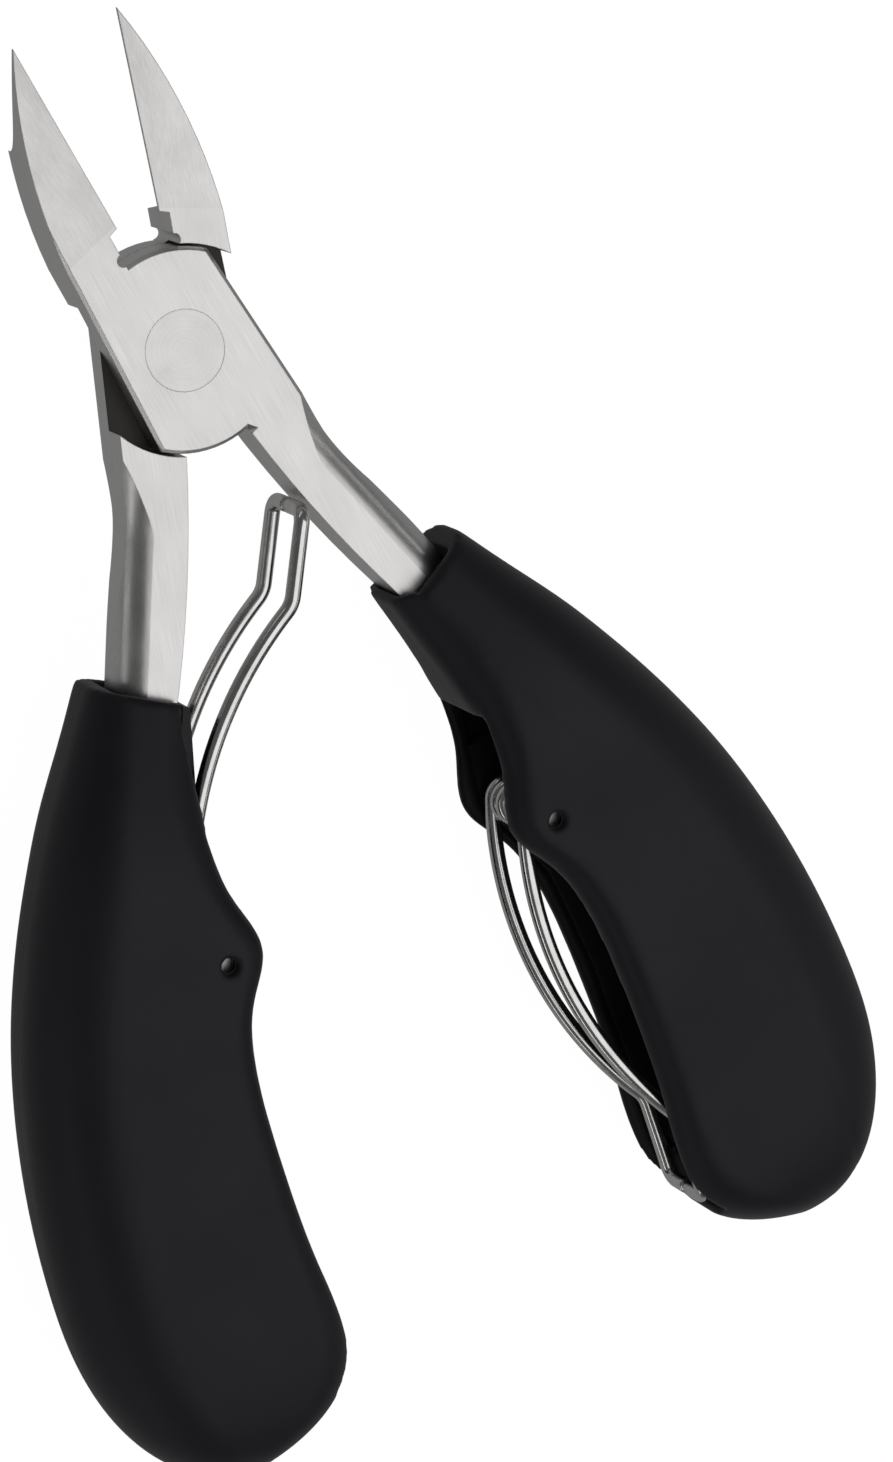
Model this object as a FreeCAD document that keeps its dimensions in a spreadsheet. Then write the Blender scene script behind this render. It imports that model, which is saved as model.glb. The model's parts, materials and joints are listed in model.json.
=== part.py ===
import FreeCAD, Part
import math
import os
import re
import Sketcher

# A lap-joint toenail nipper: two forged levers crossing on a flush rivet, a soft grip on each tang,
# and in each grip a double-leg wire spring that turns on a cross pin.
# World frame, millimetres: the pivot axis is Z, the blades point to +Y, and Z = 0 is the rear face
# of the lap joint. Each lever is drawn closed, in a frame centred on the pivot and on the plane
# where the two laps meet, and is then opened by half_opening.

doc = FreeCAD.newDocument("toenail_nipper")

DIMENSIONS = [
    ("half_opening", 9.4, "angle each lever is opened from closed, degrees"),
    ("lap", 3.5, "thickness of one lap, half of the joint"),
    ("lap_play", 0.03, "gap from each lap to the plane between them"),
    ("lap_radius", 9.7, "round ends of a lap"),
    ("shoulder_radius", 9.95, "hollow shoulder that faces the other lever's lap"),
    ("edge_break", 0.35, "chamfer round the outer faces of the joint"),
    ("tip_reach", 32.2, "pivot to blade tip"),
    ("edge_play", 0.02, "cutting edge to the plane where the edges meet"),
    ("edge_heel", 13.2, "pivot to the heel of the cutting edge"),
    ("heel_slope", 0.3, "fall of the short face between that heel and the inner wall"),
    ("heel_gap", 0.95, "inner wall of the heel to the closing plane"),
    ("blade_half", 6.1, "closing plane to the outer side of the heel"),
    ("blade_shoulder", 11.7, "height at which the blade's outer side starts to curve in"),
    ("blade_arc", 49.0, "radius of the blade's outer side"),
    ("relief_hole", 0.6, "radius of the relief hole at the heel's corner"),
    ("relief_height", 10.3, "pivot to relief hole"),
    ("bevel_slope", 4.6, "fall of the blade's front face towards the tip, degrees"),
    ("bevel_skew", 12.7, "angle of the line where that face starts, degrees"),
    ("bevel_run", 27.0, "length of the cut that makes that face"),
    ("hollow_radius", 5.65, "hollow behind the cutting edge"),
    ("hollow_side", 1.75, "hollow's axis to the closing plane"),
    ("hollow_start", 0.25, "start of the hollow below the heel of the cutting edge"),
    ("edge_land", 0.3, "thickness left at the cutting edge"),
    ("lap_side", 6.6, "closing plane to the free side of a lap"),
    ("lap_overlap", 1.2, "depth to which a lap runs into its blade and shank"),
    ("waist", 7.64, "closing plane to the outer side of the joint, shank side"),
    ("hip_side", 8.0, "closing plane to the corner where the joint ends"),
    ("hip_drop", 11.0, "pivot to that corner"),
    ("crotch", 1.7, "closing plane to the inner side of the shank at the joint"),
    ("shank_axis", 4.95, "closing plane to the shank's axis where it starts"),
    ("axis_drop", 10.0, "pivot to the point where the shank's axis starts"),
    ("shank_lean", 13.3, "angle of the shank's axis, degrees"),
    ("shank_end", 34.0, "pivot to the end of the shank, along Y"),
    ("shank_inner", 7.5, "closing plane to the shank's inner side at its end"),
    ("shank_outer", 14.0, "closing plane to the shank's outer side at its end"),
    ("inner_arc", 130.0, "radius of the shank's inner side"),
    ("neck_side", 8.15, "closing plane to the outer side where the shank narrows"),
    ("neck_drop", 14.0, "pivot to that point"),
    ("bend_side", 9.85, "closing plane to the end of the bend in the outer side"),
    ("bend_drop", 20.5, "pivot to that point"),
    ("outer_arc", 27.0, "radius of the bend in the shank's outer side"),
    ("turning_side", -0.7, "shank's axis to the axis that its outer half is turned about"),
    ("turned_radius", 3.53, "radius of the turned half"),
    ("flare", 17.5, "radius in which the turned half flares out at its upper end"),
    ("flare_top", -1.0, "start of the shank's axis to the start of the turning"),
    ("flare_foot", 6.8, "start of the shank's axis to the foot of the flare"),
    ("turned_length", 28.0, "start of the shank's axis to the end of the turning"),
    ("turning_reach", 12.0, "outer radius of what the turning takes away"),
    ("tang_width", 5.2, "width of the tang"),
    ("tang_depth", 5.0, "depth of the tang"),
    ("tang_length", 64.0, "start of the shank's axis to the end of the tang"),
    ("tang_start", 23.5, "start of the shank's axis to the root of the tang, inside the shank"),
    ("tang_point", 2.0, "length of the tang's tapered end"),
    ("tang_taper", 0.6, "narrowing of each side of the tang over its length"),
    ("rivet_shaft", 2.8, "radius of the rivet's shaft"),
    ("rivet_head", 3.83, "radius of its flush heads"),
    ("head_depth", 1.1, "depth of a countersunk head"),
    ("rivet_play", 0.03, "clearance round the rivet"),
    ("pin_side", 8.2, "spring pin to the closing plane"),
    ("pin_drop", 56.9, "spring pin to the pivot, along Y"),
    ("pin_radius", 0.8, "radius of the spring pin"),
    ("pin_half", 7.0, "half length of the spring pin"),
    ("pin_bore", 0.82, "radius of the pin's bore in the liner"),
    ("wire", 0.75, "radius of the spring wire"),
    ("leg_half", 4.4, "middle plane to the axis of a leg"),
    ("coil", 1.75, "mean radius of the spring's coil"),
    ("coil_pitch", 1.25, "distance between the turns"),
    ("coil_turns", 7, "number of turns"),
    ("leg_root", 0.3, "length of a leg inside the coil"),
    ("bow_start", 22.8, "angle at which a leg leaves the coil, degrees"),
    ("bow_radius", 40.0, "radius of a bowed leg"),
    ("bow_turn", 50.3, "angle that the bow turns through, degrees"),
    ("knee_radius", 3.0, "bend radius at the knee"),
    ("knee_turn", 33.0, "angle of the knee, degrees"),
    ("tip_run", 6.7, "straight run after the knee"),
    ("corner_radius", 1.3, "bend radius where a leg turns into its cross bar"),
    ("bar_gap", 0.35, "half the gap between the two halves of the cross bar"),
    ("raised_lean", 23.3, "lean of the raised spring in its lever's frame, degrees"),
    ("stowed_lean", 175.2, "lean of the stowed spring in its lever's frame, degrees"),
    ("hole_radius", 0.85, "radius of the hole in the sleeve over each end of the pin"),
    ("channel_half", 6.1, "half width of the spring channel"),
    ("tongue_half", 3.45, "half width of the liner's tongue, between the spring's legs"),
    ("slot_half", 5.25, "half width of the slot in the sleeve that takes the tongue and the legs"),
    ("wall_half", 7.4, "half depth of the liner beside the channel"),
    ("spine_half", 5.6, "half depth of the liner behind the channel"),
    ("liner_gap", 0.05, "gap between liner and sleeve"),
    ("shank_half", 3.5, "shank's axis to its inner side where it enters the sleeve"),
    ("mouth_gap", 0.25, "gap round the shank in the sleeve's mouth"),
    ("mouth_top", 12.0, "start of the shank's axis to above the sleeve's mouth"),
    ("mouth_floor", 29.5, "start of the shank's axis to the floor of the mouth"),
    ("tang_gap", 0.05, "gap round the tang in the liner"),
    ("through", 60.0, "length of a cut that goes right through a piece"),
]

dims = doc.addObject("Spreadsheet::Sheet", "dims")
for row, (alias, number, meaning) in enumerate(DIMENSIONS, start=1):
    dims.set("A%d" % row, meaning)
    dims.set("B%d" % row, str(number))
    dims.setAlias("B%d" % row, alias)

# The grip is lofted through these stations, in its lever's frame. Each is: distance below the
# pivot, inner side, outer side, half depth, inner corner radius, outer corner radius.
STATIONS = [
    (28.6, 5.4, 14.5, 5.1, 2.8, 3.6),
    (31.6, 5.5, 16.1, 5.9, 3.6, 4.5),
    (36.0, 6.1, 18.3, 6.9, 4.6, 5.6),
    (41.0, 6.7, 20.8, 7.9, 4.4, 6.6),
    (46.0, 7.0, 22.9, 8.6, 3.4, 7.4),
    (51.5, 5.9, 24.9, 9.0, 2.8, 7.8),
    (56.5, 4.2, 26.4, 9.2, 2.6, 8.0),
    (61.0, 5.9, 27.5, 9.3, 2.6, 8.2),
    (67.0, 7.0, 28.5, 9.4, 2.6, 8.4),
    (77.0, 6.3, 29.2, 9.4, 2.6, 8.5),
    (87.0, 4.7, 28.8, 9.3, 2.8, 8.5),
    (94.0, 3.1, 27.7, 9.1, 3.4, 8.4),
    (99.0, 2.9, 26.0, 8.6, 4.6, 8.2),
    (103.0, 4.9, 23.6, 7.6, 5.2, 7.2),
    (106.0, 8.5, 20.4, 5.7, 4.6, 5.0),
    (107.6, 11.6, 17.2, 3.4, 2.2, 2.2),
]
STATION_FIELDS = ("drop", "inner", "outer", "half", "inner_round", "outer_round")

# Corners of the outlines inside the right-hand grip, in its lever's frame: across, along, and which
# way each moves where the outline is grown to leave a gap round the liner.
OUTLINES = {
    "spine": [
        (9.0, -37.5, -1, 1), (15.5, -37.5, 1, 1), (22.0, -48.0, 1, 0), (25.0, -64.0, 1, 0),
        (25.4, -78.0, 1, 0), (24.2, -90.0, 1, 0), (20.0, -99.0, 1, -1), (9.0, -99.0, -1, -1),
    ],
    "walls": [
        (8.8, -47.0, -1, 1), (6.0, -56.5, -1, 0), (8.6, -66.5, -1, 0), (8.0, -77.0, -1, 0),
        (6.5, -87.0, -1, 0), (5.6, -94.0, -1, 0), (6.4, -98.5, -1, -1), (17.0, -98.5, 1, -1),
        (18.0, -47.0, 1, 1),
    ],
    "slot": [
        (2.0, -28.0, 0, 0), (4.8, -28.0, 0, 0), (8.05, -34.0, 0, 0), (9.6, -38.0, 0, 0),
        (10.7, -42.0, 0, 0), (11.4, -47.0, 0, 0), (11.5, -51.0, 0, 0), (2.0, -51.0, 0, 0),
    ],
    "tongue": [
        (5.9, -33.1, 0, 0), (6.2, -36.0, 0, 0), (6.8, -41.0, 0, 0), (7.0, -44.5, 0, 0),
        (10.5, -45.5, 0, 0), (10.5, -41.5, 0, 0), (9.5, -38.0, 0, 0), (7.3, -32.4, 0, 0),
    ],
    "channel": [
        (0.5, -44.5, 0, 0), (9.0, -44.5, 0, 0), (13.2, -50.0, 0, 0), (13.2, -83.0, 0, 0),
        (6.3, -96.0, 0, 0), (5.6, -101.3, 0, 0), (0.5, -102.0, 0, 0),
    ],
    "rim": [(4.0, -33.4, 0, 0), (19.0, -27.4, 0, 0), (19.0, -20.0, 0, 0), (4.0, -20.0, 0, 0)],
}
OUTLINE_FIELDS = ("across", "along", "grow_across", "grow_along")
LETTERS = "abcdefghijklmnop"


def add_table(name, fields, rows, first_row):
    """Put a table on the sheet, one cell for each number, as name_field_letter."""
    place_in_sheet = first_row
    for letter, numbers in zip(LETTERS, rows):
        for field, number in zip(fields, numbers):
            alias = "%s_%s_%s" % (name, field, letter)
            dims.set("A%d" % place_in_sheet, alias.replace("_", " "))
            dims.set("B%d" % place_in_sheet, str(number))
            dims.setAlias("B%d" % place_in_sheet, alias)
            place_in_sheet += 1
    return place_in_sheet


next_row = add_table("grip", STATION_FIELDS, STATIONS, len(DIMENSIONS) + 1)
for name, corners in OUTLINES.items():
    next_row = add_table(name, OUTLINE_FIELDS, corners, next_row)
doc.recompute()


def size(expression):
    """The value of an expression written with the sheet's aliases."""
    return float(dims.evalExpression(expression))


def bound(expression):
    """The same expression as another object must write it."""
    return re.sub(r"\b(?!(?:sqrt|sin|cos|tan)\b)[a-z]\w*", r"dims.\g<0>", expression)


def new_body(name):
    body = doc.addObject("PartDesign::Body", name)
    body.Label = name
    return body


def new_sketch(body, name, role, height=None, turn=None):
    """A sketch on one of the body's own planes, moved along its normal or turned."""
    plane = [item for item in body.Origin.OriginFeatures if item.Role == role][0]
    sketch = body.newObject("Sketcher::SketchObject", name)
    sketch.AttachmentSupport = [(plane, "")]
    sketch.MapMode = "FlatFace"
    if turn is not None:
        axis, angle = turn
        sketch.AttachmentOffset = FreeCAD.Placement(FreeCAD.Vector(), FreeCAD.Rotation(axis, size(angle)))
        sketch.setExpression("AttachmentOffset.Rotation.Angle", bound(angle))
    if height is not None:
        sketch.setExpression("AttachmentOffset.Base.z", bound(height))
    doc.recompute()
    return sketch


def fix_point(sketch, geometry, end, point):
    """Hold one point of the sketch at two expressions."""
    for kind, axis, expression in (("DistanceX", -2, point[0]), ("DistanceY", -1, point[1])):
        value = size(expression)
        if abs(value) < 1e-9:
            sketch.addConstraint(Sketcher.Constraint("PointOnObject", geometry, end, axis))
            continue
        index = sketch.addConstraint(Sketcher.Constraint(kind, -1, 1, geometry, end, value))
        sketch.setExpression("Constraints[%d]" % index, bound(expression))


def draw_loop(sketch, points, arcs=None):
    """A closed loop through points; arcs gives the radius of each edge that is round, as
    (radius, side) with side 1 where it bulges to the left of its direction, else -1."""
    arcs = arcs or {}
    spots = [FreeCAD.Vector(size(x), size(y), 0) for x, y in points]
    edges = []
    for number, start in enumerate(spots):
        finish = spots[(number + 1) % len(spots)]
        if number not in arcs:
            edges.append((sketch.addGeometry(Part.LineSegment(start, finish), False), 1, 2))
            continue
        radius, side = arcs[number]
        chord = finish - start
        across = FreeCAD.Vector(-chord.y, chord.x, 0).normalize()
        reach = size(radius)
        rise = reach - math.sqrt(reach ** 2 - chord.Length ** 2 / 4)
        curve = Part.Arc(start, start + chord / 2 + across * side * rise, finish)
        geometry = sketch.addGeometry(curve, False)
        forward = sketch.getPoint(geometry, 1).distanceToPoint(start) < 1e-6
        edges.append((geometry, 1, 2) if forward else (geometry, 2, 1))
        index = sketch.addConstraint(Sketcher.Constraint("Radius", geometry, reach))
        sketch.setExpression("Constraints[%d]" % index, bound(radius))
    for number, (geometry, begin, end) in enumerate(edges):
        following, next_begin, next_end = edges[(number + 1) % len(edges)]
        sketch.addConstraint(Sketcher.Constraint("Coincident", geometry, end, following, next_begin))
        fix_point(sketch, geometry, begin, points[number])
    return edges


def draw_circle(sketch, centre, radius):
    spot = FreeCAD.Vector(size(centre[0]), size(centre[1]), 0)
    circle = sketch.addGeometry(Part.Circle(spot, FreeCAD.Vector(0, 0, 1), size(radius)), False)
    fix_point(sketch, circle, 3, centre)
    index = sketch.addConstraint(Sketcher.Constraint("Radius", circle, size(radius)))
    sketch.setExpression("Constraints[%d]" % index, bound(radius))


def extrude(body, kind, sketch, length, midplane=False, reverse=False):
    """A Pad or Pocket of the sketch; it must change the body's volume."""
    before = body.Shape.Volume if body.Tip else 0.0
    feature = body.newObject("PartDesign::" + kind, sketch.Name + "_" + kind.lower())
    feature.Profile = sketch
    feature.setExpression("Length", bound(length))
    if midplane:
        feature.SideType = "Symmetric"
    feature.Reversed = reverse
    doc.recompute()
    if abs(body.Shape.Volume - before) < 1e-3:
        raise RuntimeError("%s leaves its body unchanged" % feature.Name)
    return feature


def turn_about(body, kind, sketch, axis, angle=360.0):
    """A Revolution or Groove of the sketch about one of the sketch's own axes or lines, to the same
    angle on each side of the sketch."""
    before = body.Shape.Volume if body.Tip else 0.0
    feature = body.newObject("PartDesign::" + kind, sketch.Name + "_" + kind.lower())
    feature.Profile = sketch
    feature.ReferenceAxis = (sketch, [axis])
    feature.Angle = angle
    feature.Midplane = True
    doc.recompute()
    if abs(body.Shape.Volume - before) < 1e-3:
        raise RuntimeError("%s leaves its body unchanged" % feature.Name)
    return feature


def place(body, turn, base=("0", "0", "lap")):
    """Turn a body about Z and move it, both bound to the sheet."""
    body.Placement = FreeCAD.Placement(FreeCAD.Vector(), FreeCAD.Rotation(FreeCAD.Vector(0, 0, 1), 1.0))
    body.setExpression("Placement.Rotation.Angle", bound(turn))
    for axis, expression in zip("xyz", base):
        body.setExpression("Placement.Base." + axis, bound(expression))


def above(offset, radius="lap_radius"):
    """The height of the point of a circle round the pivot at a given offset from the axis."""
    return "sqrt(%s ^ 2 - (%s) ^ 2)" % (radius, offset)


def along_shank(side, along, across):
    """The point at a distance along the shank's axis and out from it, as two expressions."""
    x = "shank_axis + (%s) * sin(shank_lean) + (%s) * cos(shank_lean)" % (along, across)
    y = "-1 * axis_drop - (%s) * cos(shank_lean) + (%s) * sin(shank_lean)" % (along, across)
    return "%d * (%s)" % (side, x), y


def outer_edges(body, level, low, high):
    """The names of the edges that lie in the plane Z = level, between two heights along Y."""
    names = []
    for number, edge in enumerate(body.Shape.Edges, start=1):
        box = edge.BoundBox
        flat = abs(box.ZMin - level) < 1e-6 and abs(box.ZMax - level) < 1e-6
        if flat and box.YMin > low and box.YMax < high:
            names.append("Edge%d" % number)
    return names


def chamfer_edges(body, name, edges, width):
    solid = body.Tip
    chamfer = body.newObject("PartDesign::Chamfer", name)
    chamfer.Base = (solid, edges)
    chamfer.setExpression("Size", bound(width))
    doc.recompute()
    return chamfer


def build_lever(name, side, front):
    """One forging: blade, half lap, shank and tang. side is 1 where its shank is on the right,
    and front is 1 where its lap is the upper one."""
    body = new_body(name)

    def across(expression):
        return "%d * (%s)" % (side, expression)

    blade = new_sketch(body, name + "_blade", "XY_Plane")
    draw_loop(blade, [
        (across("-1 * edge_play"), "tip_reach"),
        (across("-1 * blade_half"), "blade_shoulder"),
        (across("-1 * blade_half"), above("blade_half", "shoulder_radius")),
        (across("-1 * heel_gap"), above("heel_gap", "shoulder_radius")),
        (across("-1 * heel_gap"), "edge_heel - heel_slope"),
        (across("-1 * edge_play"), "edge_heel"),
    ], {0: ("blade_arc", -side), 2: ("shoulder_radius", side)})
    extrude(body, "Pad", blade, "2 * lap", midplane=True)

    shank = new_sketch(body, name + "_shank", "XY_Plane")
    draw_loop(shank, [
        (across("crotch"), "-1 * " + above("crotch", "shoulder_radius")),
        (across("shank_inner"), "-1 * shank_end"),
        (across("shank_outer"), "-1 * shank_end"),
        (across("bend_side"), "-1 * bend_drop"),
        (across("neck_side"), "-1 * neck_drop"),
        (across("hip_side"), "-1 * hip_drop"),
        (across("waist"), "-1 * " + above("waist", "shoulder_radius")),
    ], {0: ("inner_arc", -side), 3: ("outer_arc", side), 6: ("shoulder_radius", side)})
    lap = new_sketch(body, name + "_lap", "XY_Plane", height="%d * lap_play" % front)
    draw_loop(lap, [
        (across("-1 * blade_half"), "blade_shoulder - lap_overlap"),
        (across("-1 * lap_side"), "-1 * " + above("lap_side")),
        (across("crotch"), "-1 * " + above("crotch")),
        (across("crotch + lap_overlap"), "-1 * hip_drop"),
        (across("hip_side"), "-1 * hip_drop"),
        (across("lap_side"), above("lap_side")),
        (across("-1 * heel_gap"), above("heel_gap")),
        (across("-1 * heel_gap"), "blade_shoulder - lap_overlap"),
    ], {1: ("lap_radius", -side), 5: ("lap_radius", -side)})
    extrude(body, "Pad", lap, "lap - lap_play", reverse=front < 0)
    extrude(body, "Pad", shank, "2 * lap", midplane=True)

    low, high = size("-1 * hip_drop - lap_play"), size("blade_shoulder + lap_play")
    sharp = outer_edges(body, front * size("lap"), low, high)
    chamfer_edges(body, name + "_edge_break", sharp, "edge_break")

    relief = new_sketch(body, name + "_relief", "XY_Plane")
    draw_circle(relief, (across("-1 * heel_gap"), "relief_height"), "relief_hole")
    extrude(body, "Pocket", relief, "3 * lap", midplane=True)

    bore = new_sketch(body, name + "_bore", "XZ_Plane")
    draw_loop(bore, [
        ("0", "-1 * %d * lap" % front),
        ("rivet_shaft + rivet_play", "-1 * %d * lap" % front),
        ("rivet_shaft + rivet_play", "%d * (lap - head_depth)" % front),
        ("rivet_head + rivet_play", "%d * lap" % front),
        ("rivet_head + rivet_play", "%d * 2 * lap" % front),
        ("0", "%d * 2 * lap" % front),
    ])
    turn_about(body, "Groove", bore, "V_Axis")

    skew = (FreeCAD.Vector(0, 1, 0), across("bevel_skew"))
    bevel = new_sketch(body, name + "_bevel", "YZ_Plane", turn=skew)
    draw_loop(bevel, [
        ("edge_heel", "lap"),
        ("edge_heel + bevel_run", "lap - bevel_run * tan(bevel_slope)"),
        ("edge_heel + bevel_run", "2 * lap"),
        ("edge_heel", "2 * lap"),
    ])
    extrude(body, "Pocket", bevel, "through", midplane=True)

    hollow = new_sketch(body, name + "_hollow", "XZ_Plane", height="hollow_start - edge_heel",
                        turn=(FreeCAD.Vector(1, 0, 0), "-1 * bevel_slope"))
    rise = "lap - edge_land - sqrt(hollow_radius ^ 2 - hollow_side ^ 2)"
    draw_circle(hollow, (across("hollow_side"), rise), "hollow_radius")
    extrude(body, "Pocket", hollow, "through")

    turned = new_sketch(body, name + "_turned", "XY_Plane")
    turned_out = "turning_side + turned_radius"
    flared_out = turned_out + " + flare - sqrt(flare ^ 2 - (flare_foot - flare_top) ^ 2)"
    draw_loop(turned, [
        along_shank(side, "flare_top", flared_out),
        along_shank(side, "flare_foot", turned_out),
        along_shank(side, "turned_length", turned_out),
        along_shank(side, "turned_length", "turning_reach"),
        along_shank(side, "flare_top", "turning_reach"),
    ], {0: ("flare", -side)})
    ends = [along_shank(side, along, "turning_side") for along in ("0", "turned_length")]
    start, finish = [FreeCAD.Vector(size(x), size(y), 0) for x, y in ends]
    axis = turned.addGeometry(Part.LineSegment(start, finish), True)
    for end, point in enumerate(ends, start=1):
        fix_point(turned, axis, end, point)
    turn_about(body, "Groove", turned, "Axis0", angle=180.0)

    tang = new_sketch(body, name + "_tang", "XY_Plane")
    draw_loop(tang, [
        along_shank(side, "tang_start", "-1 * tang_width / 2"),
        along_shank(side, "tang_length - tang_point", "-1 * tang_width / 2 + tang_taper"),
        along_shank(side, "tang_length", "-1 * tang_width / 4"),
        along_shank(side, "tang_length", "tang_width / 4"),
        along_shank(side, "tang_length - tang_point", "tang_width / 2 - tang_taper"),
        along_shank(side, "tang_start", "tang_width / 2"),
    ])
    extrude(body, "Pad", tang, "tang_depth", midplane=True)
    place(body, across("half_opening"))
    return body


def build_rivet(name):
    """A flush rivet: a shaft through both laps and a countersunk head at each end."""
    body = new_body(name)
    profile = new_sketch(body, name + "_profile", "XZ_Plane")
    draw_loop(profile, [
        ("0", "-1 * lap"),
        ("rivet_head", "-1 * lap"),
        ("rivet_shaft", "-1 * lap + head_depth"),
        ("rivet_shaft", "lap - head_depth"),
        ("rivet_head", "lap"),
        ("0", "lap"),
    ])
    turn_about(body, "Revolution", profile, "V_Axis")
    place(body, "0")
    return body


def outline(name, side, gap="0"):
    """The corners of one of the OUTLINES on either side, grown by a gap."""
    corners = []
    for letter, _ in zip(LETTERS, OUTLINES[name]):
        x = "%s_across_%s + %s_grow_across_%s * (%s)" % (name, letter, name, letter, gap)
        y = "%s_along_%s + %s_grow_along_%s * (%s)" % (name, letter, name, letter, gap)
        corners.append(("%d * (%s)" % (side, x), y))
    return corners


def block(body, kind, name, side, depth, gap="0"):
    """Pad or pocket one of the OUTLINES, the same depth to each side of the middle plane."""
    sketch = new_sketch(body, "%s_%s" % (body.Name, name), "XY_Plane")
    draw_loop(sketch, outline(name, side, gap))
    extrude(body, kind, sketch, depth, midplane=True)


def cut_mouth(body, side):
    """The pocket that the shank sinks into, with a gap all round."""
    mouth = new_sketch(body, body.Name + "_mouth", "XY_Plane")
    draw_loop(mouth, [
        along_shank(side, "mouth_top", "-1 * shank_half - mouth_gap"),
        along_shank(side, "mouth_floor", "-1 * shank_half - mouth_gap"),
        along_shank(side, "mouth_floor", "turning_side + turned_radius + mouth_gap"),
        along_shank(side, "mouth_top", "turning_side + turned_radius + mouth_gap"),
    ])
    extrude(body, "Pocket", mouth, "2 * (lap + mouth_gap)", midplane=True)


def build_liner(name, side):
    """The hard plastic core moulded on the tang: its side walls carry the spring pin, and its tongue
    lies along the shank, between the slots that the legs of the raised spring sink into."""
    body = new_body(name)
    block(body, "Pad", "spine", side, "2 * spine_half")
    block(body, "Pad", "walls", side, "2 * wall_half")
    block(body, "Pocket", "channel", side, "2 * channel_half")
    for word, height in (("upper", "tongue_half + wall_half"), ("lower", "-1 * tongue_half")):
        slot = new_sketch(body, "%s_%s_slot" % (name, word), "XY_Plane", height=height)
        draw_loop(slot, outline("slot", side))
        extrude(body, "Pocket", slot, "wall_half")
    block(body, "Pad", "tongue", side, "2 * tongue_half")
    cut_mouth(body, side)
    socket = new_sketch(body, name + "_socket", "XY_Plane")
    draw_loop(socket, [
        along_shank(side, "tang_start", "-1 * tang_width / 2 - tang_gap"),
        along_shank(side, "tang_length + tang_gap", "-1 * tang_width / 2 - tang_gap"),
        along_shank(side, "tang_length + tang_gap", "tang_width / 2 + tang_gap"),
        along_shank(side, "tang_start", "tang_width / 2 + tang_gap"),
    ])
    extrude(body, "Pocket", socket, "tang_depth + 2 * tang_gap", midplane=True)
    bore = new_sketch(body, name + "_pin_bore", "XY_Plane")
    draw_circle(bore, ("%d * pin_side" % side, "-1 * pin_drop"), "pin_bore")
    extrude(body, "Pocket", bore, "3 * wall_half", midplane=True)
    place(body, "%d * half_opening" % side)
    return body


def grip_section(body, name, side, letter):
    """One station of the grip: a rectangle with its own corner radii on each side."""
    def cell(field):
        return "grip_%s_%s" % (field, letter)

    sketch = new_sketch(body, "%s_%s" % (name, letter), "XZ_Plane", height=cell("drop"))
    inner, outer, half = cell("inner"), cell("outer"), cell("half")
    inner_round, outer_round = cell("inner_round"), cell("outer_round")
    inner_flat = "%s - %s" % (half, inner_round)
    outer_flat = "%s - %s" % (half, outer_round)
    points = [
        (inner, "-1 * (%s)" % inner_flat),
        (inner, inner_flat),
        ("%s + %s" % (inner, inner_round), half),
        ("%s - %s" % (outer, outer_round), half),
        (outer, outer_flat),
        (outer, "-1 * (%s)" % outer_flat),
        ("%s - %s" % (outer, outer_round), "-1 * %s" % half),
        ("%s + %s" % (inner, inner_round), "-1 * %s" % half),
    ]
    points = [("%d * (%s)" % (side, x), y) for x, y in points]
    corners = {1: inner_round, 3: outer_round, 5: outer_round, 7: inner_round}
    draw_loop(sketch, points, {edge: (radius, side) for edge, radius in corners.items()})
    return sketch


def build_sleeve(name, side):
    """The soft grip: a lofted body, hollow for the liner, open towards the other grip."""
    body = new_body(name)
    sections = [grip_section(body, name, side, letter) for letter, _ in zip(LETTERS, STATIONS)]
    loft = body.newObject("PartDesign::AdditiveLoft", name + "_loft")
    loft.Profile = sections[0]
    loft.Sections = sections[1:]
    doc.recompute()

    block(body, "Pocket", "rim", side, "through")
    block(body, "Pocket", "spine", side, "2 * (spine_half + liner_gap)", gap="liner_gap")
    block(body, "Pocket", "walls", side, "2 * (wall_half + liner_gap)", gap="liner_gap")
    block(body, "Pocket", "channel", side, "2 * channel_half")
    block(body, "Pocket", "slot", side, "2 * slot_half")
    cut_mouth(body, side)
    hole = new_sketch(body, name + "_pin_hole", "XY_Plane")
    draw_circle(hole, ("%d * pin_side" % side, "-1 * pin_drop"), "hole_radius")
    extrude(body, "Pocket", hole, "through", midplane=True)
    place(body, "%d * half_opening" % side)
    return body


def pin_place(side):
    """Where the spring pin stands once its lever is opened."""
    turn = "(%d * half_opening)" % side
    x = "%d * pin_side * cos(%s) + pin_drop * sin(%s)" % (side, turn, turn)
    y = "%d * pin_side * sin(%s) - pin_drop * cos(%s)" % (side, turn, turn)
    return x, y, "lap"


def build_pin(name, side):
    body = new_body(name)
    section = new_sketch(body, name + "_section", "XY_Plane")
    draw_circle(section, ("0", "0"), "pin_radius")
    extrude(body, "Pad", section, "2 * pin_half", midplane=True)
    place(body, "0", pin_place(side))
    return body


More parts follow.
